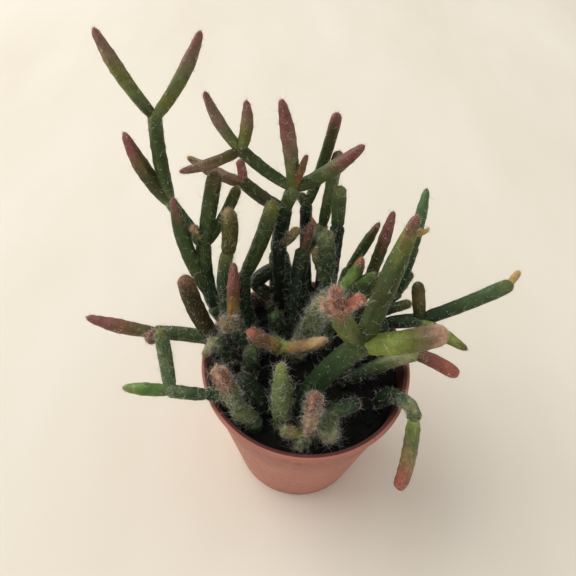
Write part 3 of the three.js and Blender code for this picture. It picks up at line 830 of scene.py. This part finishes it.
def settle(bm):
    """Sorts a shape's parts by place, so that their order is the same on every run."""
    bm.verts.sort(key=lambda vert: vert.co.dot(SORTING_WAY))
    bm.edges.sort(key=lambda edge: sum(vert.co.dot(SORTING_WAY) for vert in edge.verts))
    bm.faces.sort(key=lambda face: sum(vert.co.dot(SORTING_WAY) for vert in face.verts) / len(face.verts))


def turn(bm, profile, steps):
    """Spins a profile of radii and heights about the upright axis and closes it."""
    verts = [bm.verts.new((radius * MM, 0, z * MM)) for radius, z in profile]
    edges = [bm.edges.new(pair) for pair in zip(verts, verts[1:])]
    bmesh.ops.spin(
        bm,
        geom=verts + edges,
        axis=(0, 0, 1),
        cent=(0, 0, 0),
        steps=steps,
        angle=FULL_TURN,
        use_merge=True,
    )
    bmesh.ops.remove_doubles(bm, verts=bm.verts, dist=0.001 * MM)
    bmesh.ops.recalc_face_normals(bm, faces=bm.faces)
    settle(bm)


def make_drain_cutter():
    """The drain holes and the notches in the foot ring, as one cutter."""
    bm = bmesh.new()
    for hole in range(DRAIN_HOLES):
        angle = FULL_TURN * hole / DRAIN_HOLES
        about = Matrix.Rotation(angle, 4, "Z")
        bmesh.ops.create_cone(
            bm,
            cap_ends=True,
            segments=32,
            radius1=DRAIN_RADIUS * MM,
            radius2=DRAIN_RADIUS * MM,
            depth=3 * FLOOR * MM,
            matrix=about @ Matrix.Translation((DRAIN_RING * MM, 0, 0)),
        )
        between = Matrix.Rotation(angle + math.pi / DRAIN_HOLES, 4, "Z")
        size = Matrix.Diagonal((2 * BASE_RADIUS * MM, NOTCH_WIDTH * MM, 2 * BASE_RECESS * MM, 1))
        middle = Matrix.Translation(((FOOT_RING_INNER + BASE_RADIUS) * MM, 0, 0))
        bmesh.ops.create_cube(bm, size=1, matrix=between @ middle @ size)
    return to_object(bm, "drain_cutter", [])


def make_pot(material):
    """The nursery pot: a tapered wall under a rounded lip, a foot ring and drain holes."""
    lip_bottom = POT_HEIGHT - LIP_HEIGHT
    lip_middle = RIM_RADIUS - LIP_ROUND
    top_inner = inner_radius(POT_HEIGHT)
    profile = [
        (0, 0),
        (BOSS_RADIUS, 0),
        (BOSS_RADIUS + BASE_SLANT, BASE_RECESS),
        (FOOT_RING_INNER - BASE_SLANT, BASE_RECESS),
        (FOOT_RING_INNER, 0),
        (BASE_RADIUS - 0.6, 0),
        (BASE_RADIUS - 0.2, 0.15),
        (outer_radius(0.6), 0.6),
    ]
    profile += [(outer_radius(z), z) for z in np.linspace(4, lip_bottom - 0.5, 13)]
    profile += [(outer_radius(lip_bottom) + 0.05, lip_bottom - 0.1), (lip_middle, lip_bottom + 0.06)]
    for angle in np.linspace(-90, 90, 7)[1:]:
        middle = lip_bottom + LIP_ROUND if angle < 0 else POT_HEIGHT - LIP_ROUND
        turned = math.radians(angle)
        profile.append((lip_middle + LIP_ROUND * math.cos(turned), middle + LIP_ROUND * math.sin(turned)))
    profile += [(top_inner + 0.35, POT_HEIGHT), (top_inner + 0.1, POT_HEIGHT - 0.12)]
    profile += [(top_inner, POT_HEIGHT - 0.4)]
    profile += [(inner_radius(z), z) for z in np.linspace(POT_HEIGHT - 2, FLOOR, 12)]
    profile += [(0, FLOOR)]
    bm = bmesh.new()
    turn(bm, profile, POT_STEPS)
    pot = to_object(bm, "pot_moulded", [material])
    cutter = make_drain_cutter()
    cut = pot.modifiers.new("drains", "BOOLEAN")
    cut.operation = "DIFFERENCE"
    cut.solver = "EXACT"
    cut.object = cutter
    depsgraph = bpy.context.evaluated_depsgraph_get()
    finished = bpy.data.meshes.new_from_object(pot.evaluated_get(depsgraph))
    pot.modifiers.clear()
    pot.data = finished
    bpy.data.objects.remove(cutter)
    pot.data.set_sharp_from_angle(angle=math.radians(40))
    return pot


# Peat

def peat_height(x, y):
    """The lumpy top of the peat, at a place or at arrays of places."""
    crown = PEAT_CROWN * (1 - (x * x + y * y) / RIM_RADIUS**2)
    broad = np.sin(0.31 * x + 1.7) * np.cos(0.27 * y - 0.6)
    fine = np.sin(0.83 * x - 0.9 * y) * np.cos(0.71 * x + 0.64 * y + 2)
    crumble = np.sin(2.9 * x + 1.3 * y) * np.sin(2.3 * y - 1.1 * x) + np.sin(5.1 * x) * np.sin(4.7 * y + 1)
    return PEAT_TOP + crown + PEAT_LUMP * (0.6 * broad + 0.4 * fine) + PEAT_CRUMBLE * crumble


def make_peat_plug(material):
    """The body of peat that fills the pot."""
    floor = FLOOR + PEAT_GAP
    edge = inner_radius(PEAT_TOP) - PEAT_GAP
    profile = [(0, floor), (inner_radius(floor) - PEAT_GAP, floor), (edge, PEAT_TOP)]
    profile += [(edge * (1 - ring / PEAT_RINGS), PEAT_TOP) for ring in range(1, PEAT_RINGS + 1)]
    bm = bmesh.new()
    turn(bm, profile, PEAT_STEPS)
    for vert in bm.verts:
        if vert.co.z > (PEAT_TOP - 1) * MM:
            vert.co.z = peat_height(vert.co.x / MM, vert.co.y / MM) * MM
    return to_object(bm, "peat_plug", [material])


def scattered(count, margin, rng):
    """Random places over the peat, a margin in from the pot's wall."""
    distance = (inner_radius(PEAT_TOP) - margin) * np.sqrt(rng.random(count))
    angle = FULL_TURN * rng.random(count)
    return distance * np.cos(angle), distance * np.sin(angle)


def make_crumbs(material, rng):
    """Loose crumbs of peat on top, most of them fine and a few coarse."""
    bm = ball_template()
    for index, vert in enumerate(bm.verts):
        vert.co *= 0.8 + 0.35 * math.sin(7.3 * index)
    x, y = scattered(CRUMBS, 1, rng)
    size = between(CRUMB_SIZES, CRUMBS, rng, 4)
    middles = np.stack([x, y, peat_height(x, y) + 0.35 * size], axis=1)
    spin = rng.normal(size=(CRUMBS, 3, 3))
    first = unit(spin[:, 0])
    second = unit(np.cross(first, spin[:, 1]))
    stretch = size[:, None] * (0.7 + 0.6 * rng.random((CRUMBS, 3)))
    place = set_out(middles, (first, second, np.cross(first, second)), stretch)
    return strew("peat_crumbs", bm, CRUMBS, place, [material])


def make_fibres(material, rng):
    """Thin brown fibres lying over the peat."""
    x, y = scattered(FIBRES, 4, rng)
    heading = FULL_TURN * rng.random(FIBRES)
    roots = np.stack([x, y, peat_height(x, y) + 0.15], axis=1)
    ways = unit(np.stack([np.cos(heading), np.sin(heading), 0.25 * rng.random(FIBRES)], axis=1))
    leans = 0.35 * unit(np.stack([-np.sin(heading), np.cos(heading), -0.6 * rng.random(FIBRES)], axis=1))
    lengths = between(FIBRE_LENGTHS, FIBRES, rng)
    girths = between(FIBRE_GIRTHS, FIBRES, rng)
    place = bent_strands(roots, ways, leans, lengths, girths)
    return strew("peat_fibres", strand_template(3), FIBRES, place, [material])


# Stems

class Way:
    """The middle line of a shoot: one bowed curve, measured along its length."""

    STEPS = 80

    def __init__(self, start, end, bow):
        middle = (start + end) / 2 + 2 * bow
        share = np.linspace(0, 1, self.STEPS + 1)[:, None]
        self.points = (1 - share) ** 2 * start + 2 * share * (1 - share) * middle + share**2 * end
        self.tangents = unit((1 - share) * (middle - start) + share * (end - middle))
        gaps = np.linalg.norm(np.diff(self.points, axis=0), axis=1)
        self.gone = np.concatenate([[0], np.cumsum(gaps)])
        self.length = self.gone[-1]
        plane = np.cross(end - start, middle - start)
        if np.linalg.norm(plane) < 1e-6:
            plane = np.cross(end - start, (0.3, 1, 0.2))
        self.across = unit(plane)

    def at(self, distance):
        """The middle line's place and direction at distances along it."""
        ahead = read_off(distance, self.gone, self.tangents)
        return read_off(distance, self.gone, self.points), unit(ahead)


class Shoot:
    """A shoot's own form: its way, its outline, its soft angles and its areoles.

    A downy shoot is a young one: its areoles stand closer and prouder, and pale on darker skin.
    """

    def __init__(self, plan, way, rng):
        self.plan = plan
        self.way = way
        self.radius = plan["width"] / 2
        self.length = way.length
        longest = LONGEST_TIP * self.length
        self.tip_reach = min(CAP_REACH[plan["tip"]] * self.radius, longest)
        self.taper_reach = min(TAPER_REACH[plan["tip"]] * self.radius, longest)
        self.young = ease((plan["down"] - YOUNG_FROM) / YOUNG_SPAN)
        self.phase = FULL_TURN * rng.random()
        self.twist = 0.02 * rng.normal()
        self.wave = FULL_TURN * rng.random(3)
        self.areoles = self.place_areoles(rng)

    def place_areoles(self, rng):
        """Angle and distance of each areole: along the soft angles, staggered from one to the next."""
        spots = []
        pitch = AREOLE_PITCH * (0.7 + 0.3 * min(1, self.length / 14)) * (1 - YOUNG_CROWDING * self.young)
        for angle in range(ANGLES):
            distance = (0.35 + 0.5 * (angle % 2)) * pitch + 0.4 * rng.random()
            while distance < self.length - 0.35 * self.tip_reach:
                turn_share = FULL_TURN * angle / ANGLES + self.twist * distance
                spots.append((turn_share + self.phase + 0.12 * rng.normal(), distance))
                crowding = 0 if self.plan["tip"] == "joint" else TIP_CROWDING * (distance / self.length) ** 3
                distance += pitch * (1 - crowding) * (0.85 + 0.3 * rng.random())
        return np.array(spots).reshape(-1, 2)

    def outline(self, distance):
        """The radius at distances from the base: a neck, a fuller middle, a taper and a rounded cap."""
        neck = NECK + (SHOULDER - NECK) * ease(distance / (NECK_REACH * self.length))
        middle = (1 - SHOULDER) * ease((distance / self.length - NECK_REACH) / (0.5 - NECK_REACH))
        left = self.length - distance
        taper = 1 - TAPER[self.plan["tip"]] * (1 - np.clip(left / self.taper_reach, 0, 1)) ** 1.4
        cap = np.sqrt(np.maximum(1 - (1 - np.clip(left / self.tip_reach, 0, 1)) ** 2.1, 0))
        return self.radius * (neck + middle) * taper * cap

    def surface(self, angle, distance):
        """The skin's place and its outward direction at angles round and distances along the shoot."""
        centre, ahead = self.way.at(distance)
        across = self.way.across
        beside = np.cross(across, ahead)
        outward = np.cos(angle)[..., None] * across + np.sin(angle)[..., None] * beside
        plain = self.outline(distance)
        swell = 1 + ANGLE_DEPTH * np.cos(ANGLES * (angle - self.phase - self.twist * distance))
        slow = np.sin(1.1 * distance + self.wave[0])
        quick = np.sin(2.3 * distance + self.wave[1])
        swell += 0.012 * slow + 0.008 * quick
        closing = np.clip(plain / self.radius, 0, 1)
        rise = AREOLE_SWELL * (1 + YOUNG_SWELL * self.young) * self.knobs(angle, distance)
        reach = plain * swell + rise * closing
        return centre + outward * reach[..., None], outward

    def knobs(self, angle, distance):
        """How much of an areole's small knob stands at each place, near 1 on its top."""
        plain = self.outline(distance)
        knob = np.zeros_like(plain)
        for spot_angle, spot_distance in self.areoles:
            off_round = plain * ((angle - spot_angle + math.pi) % FULL_TURN - math.pi)
            off_along = distance - spot_distance
            knob += np.exp(-(off_round**2 + (0.8 * off_along) ** 2) / AREOLE_SPREAD**2)
        return knob

    def normal(self, angle, distance):
        """The skin's true outward direction, leaning forward as the tip closes."""
        _, outward = self.surface(angle, distance)
        _, ahead = self.way.at(distance)
        step = 0.05
        near = np.maximum(distance - step, 0)
        slope = (self.outline(near) - self.outline(np.minimum(distance + step, self.length))) / (2 * step)
        return unit(outward + ahead * np.clip(slope, -1, 6)[..., None])

    def tone(self, angle, distance):
        """The skin's colour: the plan's stops in turn, with ragged borders and, if young, pale knobs."""
        stops = np.array([linear(colour) for colour in self.plan["skin"]])
        share = distance / self.length
        share = share + 0.05 * np.sin(3 * angle + self.wave[2]) + 0.03 * np.sin(5 * angle - self.wave[0])
        tone = read_off(np.clip(share, 0, 1), np.linspace(0, 1, len(stops)), stops)
        knob = np.clip(self.knobs(angle, distance), 0, 1)[:, None]
        return tone * (1 + self.young * (YOUNG_PALE * knob - YOUNG_DARK))

    def hides(self, points, share):
        """Which points lie inside this shoot's body, taken at a share of its radius."""
        along = np.linspace(0, self.length, 40)
        centres, _ = self.way.at(along)
        radii = self.outline(along) * share
        apart = np.linalg.norm(points[:, None] - centres[None], axis=2)
        return (apart < radii[None]).any(axis=1)


def grow(plan, rng):
    """The shoots of a stem, each on the one that it grows from."""
    foot_top = np.array([*plan["foot"], PEAT_TOP + COLLAR_HEIGHT - COLLAR_ROUND])
    grown = {}
    for name, one in plan["shoots"].items():
        if one["base"] == "foot":
            start = foot_top
        else:
            parent = grown[one["base"]]
            short = parent.length - SINK * parent.radius
            start, _ = parent.way.at(short if one["at"] is None else one["at"] * parent.length)
        grown[name] = Shoot(one, Way(start, one["to"], one["bow"]), rng)
    return grown


def skin_layers(bm):
    """What a skin reads at each vertex: its tone, its down and its place along the shoot."""
    layers = bm.verts.layers
    return layers.float_color.new("tone"), layers.float.new("down"), layers.float_vector.new("along")


def lay_skin(bm, part, places, tones, down, along):
    """Puts a part's vertices in their places, tells the skin about each, and adds it to the stem."""
    tone_layer, down_layer, along_layer = skin_layers(part)
    for index, vert in enumerate(part.verts):
        vert.co = places[index] * MM
        vert[tone_layer] = (*tones[index], 1)
        vert[down_layer] = down
        vert[along_layer] = along[index] * MM
    pour(part, bm)
    part.free()


def add_body(bm, one):
    """One shoot's skin: an upright unit tube cut into rings, then laid along the shoot's way."""
    tip_start = one.length - one.tip_reach
    body = np.linspace(0, tip_start, max(3, round(tip_start / RING_GAP)), endpoint=False)
    closing = np.sin(np.linspace(0, 0.5 * math.pi, TIP_RINGS + 1))[:-1]
    distances = np.concatenate([body, tip_start + one.tip_reach * closing, [one.length * LAST_RING]])
    rings = len(distances)
    tube = bmesh.new()
    bmesh.ops.create_cone(
        tube, cap_ends=True, cap_tris=True, segments=SHOOT_SIDES, radius1=1, radius2=1, depth=1
    )
    cut_across(tube, rings - 2)
    shape = np.array([vert.co for vert in tube.verts])
    distance = distances[np.rint((shape[:, 2] + 0.5) * (rings - 1)).astype(int)]
    angle = np.arctan2(shape[:, 1], shape[:, 0])
    places, _ = one.surface(angle, distance)
    centres, _ = one.way.at(distance)
    middle = np.hypot(shape[:, 0], shape[:, 1]) < 0.5
    places[middle] = centres[middle]
    far = distance + 40 * one.wave[1]
    along = np.stack([one.radius * np.cos(angle), one.radius * np.sin(angle), far], axis=1)
    lay_skin(bm, tube, places, one.tone(angle, distance), one.plan["down"], along)


def add_collar(bm, plan, grown):
    """The stem's woody foot, standing in the peat under its first shoots."""
    widest = max(one["width"] for one in plan["shoots"].values() if one["base"] == "foot")
    radius = COLLAR_SHARE * widest / 2
    low, high = PEAT_TOP - ROOT_DEPTH, PEAT_TOP + COLLAR_HEIGHT
    collar = bmesh.new()
    bmesh.ops.create_cone(
        collar,
        cap_ends=True,
        cap_tris=True,
        segments=SHOOT_SIDES,
        radius1=radius,
        radius2=radius,
        depth=high - low,
        matrix=Matrix.Translation((*plan["foot"], (low + high) / 2)),
    )
    rim = [edge for edge in collar.edges if all(vert.co.z > high - 0.01 for vert in edge.verts)]
    rim = [edge for edge in rim if any(abs(face.normal.z) < 0.5 for face in edge.link_faces)]
    bmesh.ops.bevel(
        collar,
        geom=rim,
        offset=COLLAR_ROUND,
        offset_type="OFFSET",
        segments=3,
        profile=0.5,
        affect="EDGES",
        material=-1,
    )
    first = next(iter(grown.values())).plan
    places = np.array([vert.co for vert in collar.verts])
    tones = np.tile(COLLAR_SHADE * linear(first["skin"][0]), (len(places), 1))
    lay_skin(bm, collar, places, tones, first["down"], places)


def make_stem(name, plan, grown, material):
    """One stem with all its shoots, in place of its CAD node."""
    bm = bmesh.new()
    skin_layers(bm)
    for one in grown.values():
        add_body(bm, one)
    add_collar(bm, plan, grown)
    piece = to_object(bm, name.replace("stem_", "flesh_"), [material])
    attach(piece, "root")
    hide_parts(name)


# Bristles and down

def sideways(normals, rng):
    """Random directions along the skin."""
    return unit(np.cross(normals, rng.normal(size=normals.shape)))


def sprout(one, angles, distances):
    """Where hairs leave a shoot: their roots, the skin's outward direction and the way ahead."""
    roots, _ = one.surface(angles, distances)
    _, ahead = one.way.at(distances)
    return roots, one.normal(angles, distances), ahead


def lot(roots, ways, leans, lengths, girth, tan=False):
    """Hairs as arrays of their roots, first directions, leans, lengths, girths and finishes."""
    return roots, unit(ways), leans, lengths, np.full(len(roots), girth), np.full(len(roots), tan)


def joined(lots):
    """Several lots of hairs as one."""
    return [np.concatenate(arrays) for arrays in zip(*lots)]


def areole_bristles(one, rng):
    """A few bristles from each areole, leaning forward along the shoot."""
    down = one.plan["down"]
    lots = []
    for angle, distance in one.areoles:
        count = rng.integers(0, 4) + rng.integers(0, 3) * (down > DOWNY)
        angles = angle + 0.12 * rng.normal(size=count)
        distances = np.clip(distance + 0.15 * rng.normal(size=count), 0, one.length)
        roots, normals, ahead = sprout(one, angles, distances)
        ways = 0.8 * normals + 0.45 * ahead + 0.6 * sideways(normals, rng)
        leans = 0.8 * sideways(normals, rng) + 0.15 * ahead - 0.15 * normals
        lengths = between(BRISTLE_LENGTHS, count, rng, 1.8) * (0.8 + 0.4 * min(1, down * 1.5))
        lots.append(lot(roots, ways, leans, lengths, BRISTLE_GIRTH))
    return lots


def down_hairs(one, rng):
    """Short tangled hairs all over a downy shoot."""
    down = one.plan["down"]
    area = FULL_TURN * one.radius * one.length
    count = int(DOWN_PER_SQUARE * area * down**1.3)
    angles = FULL_TURN * rng.random(count)
    distances = one.length * rng.random(count)
    roots, normals, _ = sprout(one, angles, distances)
    ways = 0.75 * normals + 0.8 * sideways(normals, rng)
    leans = sideways(normals, rng) - 0.3 * normals
    lengths = between(DOWN_LENGTHS, count, rng, 1.8) * (0.7 + 0.5 * down)
    return lot(roots, ways, leans, lengths, DOWN_GIRTH)


def tip_hairs(one, rng):
    """The close tuft on a shoot's end, tan except at a joint."""
    count = int((90 + 110 * one.plan["down"]) * (one.radius / 2) ** 1.5)
    angles = FULL_TURN * rng.random(count)
    distances = one.length - TUFT_REACH * one.radius * rng.random(count) ** 1.6
    roots, normals, ahead = sprout(one, angles, distances)
    ways = normals + 0.7 * ahead + 0.5 * sideways(normals, rng)
    leans = 0.4 * sideways(normals, rng) + 0.1 * ahead
    lengths = between(TUFT_LENGTHS, count, rng, 1.5)
    return lot(roots, ways, leans, lengths, DOWN_GIRTH, one.plan["tip"] != "joint")


def in_the_open(points, key, grown, share=0.96):
    """Which points of a shoot lie clear of the peat and of the stem's other shoots."""
    clear = (points[:, 2] > PEAT_TOP + OPEN_HEIGHT) | (np.hypot(points[:, 0], points[:, 1]) > RIM_RADIUS)
    for other_key, other in grown.items():
        if other_key != key:
            clear &= ~other.hides(points, share)
    return clear


def make_bristles(name, grown, materials, rng):
    """The bristles and the down of one stem; gives the places and directions of its areoles."""
    low = np.array(cad_box[0]) / MM - HAIR_SLACK
    high = np.array(cad_box[1]) / MM + HAIR_SLACK
    lots, felt = [], []
    for key, one in grown.items():
        own = joined([*areole_bristles(one, rng), down_hairs(one, rng), tip_hairs(one, rng)])
        roots, ways, leans, lengths = own[:4]
        ends = roots + (ways + leans) * lengths[:, None]
        shown = in_the_open(roots, key, grown) & ((ends > low) & (ends < high)).all(axis=1)
        lots.append([values[shown] for values in own])
        centres, outward = one.surface(*one.areoles.T)
        clear = in_the_open(centres, key, grown, 1.05)
        felt.append(np.concatenate([centres, outward], axis=1)[clear])
    *hairs, tan = joined(lots)
    place = bent_strands(*hairs, HAIR_WAVE)
    piece = strew(name.replace("stem_", "bristles_"), strand_template(2), len(tan), place, materials)
    finishes = np.repeat(tan.astype(np.int32), len(piece.data.polygons) // len(tan))
    piece.data.polygons.foreach_set("material_index", finishes)
    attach(piece, "root")
    return np.concatenate(felt)


def make_areoles(spots, material, rng):
    """Every areole's small felted cushion, over the whole plant."""
    centres, outward = spots[:, :3], unit(spots[:, 3:])
    side = sideways(outward, rng)
    size = AREOLE_RADIUS * (0.75 + 0.5 * rng.random(len(spots)))
    sizes = size[:, None] * np.array([1, 1, AREOLE_FLATNESS])
    place = set_out(centres, (side, np.cross(outward, side), outward), sizes)
    piece = strew("areoles", ball_template(), len(spots), place, [material])
    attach(piece, "root")


# Stage

def make_camera():
    """The photograph's camera."""
    camera = bpy.data.objects.new("camera", bpy.data.cameras.new("camera"))
    bpy.context.scene.collection.objects.link(camera)
    camera.data.sensor_width = CAMERA_SENSOR
    camera.data.lens = CAMERA_LENS
    camera.data.clip_start = CAMERA_NEAR * MM
    tilt = Matrix.Rotation(math.radians(CAMERA_TILT), 4, "X")
    roll = Matrix.Rotation(math.radians(CAMERA_ROLL), 4, "Z")
    camera.matrix_world = Matrix.Translation(Vector(CAMERA_PLACE) * MM) @ tilt @ roll
    bpy.context.scene.camera = camera


def make_floor():
    """The pale surface under the pot."""
    bm = bmesh.new()
    bmesh.ops.create_grid(bm, x_segments=4, y_segments=4, size=TABLE_REACH * MM)
    floor = to_object(bm, "table_top", [make_table()])


def make_window():
    """The window: one soft square lamp, turned to the plant."""
    lamp = bpy.data.lights.new("window", "AREA")
    lamp.size = WINDOW_SIZE * MM
    lamp.energy = WINDOW_POWER
    lamp.color = LIGHT_COLOUR
    light = bpy.data.objects.new("window", lamp)
    bpy.context.scene.collection.objects.link(light)
    light.location = Vector(WINDOW_PLACE) * MM
    light.rotation_mode = "QUATERNION"
    light.rotation_quaternion = (Vector(WINDOW_AIM) - Vector(WINDOW_PLACE)).to_track_quat("-Z", "Y")


def make_room():
    """The pale room round the plant, and how the picture is toned."""
    world = bpy.data.worlds.new("room")
    world.use_nodes = True
    background = world.node_tree.nodes["Background"]
    feed(world.node_tree, background, {"Color": (*LIGHT_COLOUR, 1), "Strength": ROOM_STRENGTH})
    bpy.context.scene.world = world
    bpy.context.scene.view_settings.view_transform = "Standard"
    bpy.context.scene.view_settings.gamma = PICTURE_GAMMA


make_camera()
make_window()
make_room()
make_floor()

pot = make_pot(make_plastic())
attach(pot, "root")
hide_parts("pot")

peat_rng = np.random.default_rng(PEAT_SEED)
plug = make_peat_plug(make_peat("moist_peat", PEAT_COLOURS))
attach(plug, "root")
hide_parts("soil")
for loose in (
    make_crumbs(make_peat("peat_crumb", CRUMB_COLOURS), peat_rng),
    make_fibres(make_peat("peat_fibre", FIBRE_COLOURS), peat_rng),
):
    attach(loose, "root")

skin_group = make_skin_group()
skins = {}
for skin_slot, looks in SKIN_LOOKS.items():
    skins[skin_slot] = make_skin(skin_slot.replace("stem_", "skin_"), skin_group, *looks)
hair_finishes = [make_hair(name, colour) for name, colour in HAIR_COLOURS.items()]

areole_spots = []
for number, (stem_name, stem_plan) in enumerate(STEMS.items()):
    stem_rng = np.random.default_rng(STEM_SEED + number)
    stem_shoots = grow(stem_plan, stem_rng)
    make_stem(stem_name, stem_plan, stem_shoots, skins[stem_plan["slot"]])
    areole_spots.append(make_bristles(stem_name, stem_shoots, hair_finishes, stem_rng))
make_areoles(np.concatenate(areole_spots), hair_finishes[0], np.random.default_rng(AREOLE_SEED))
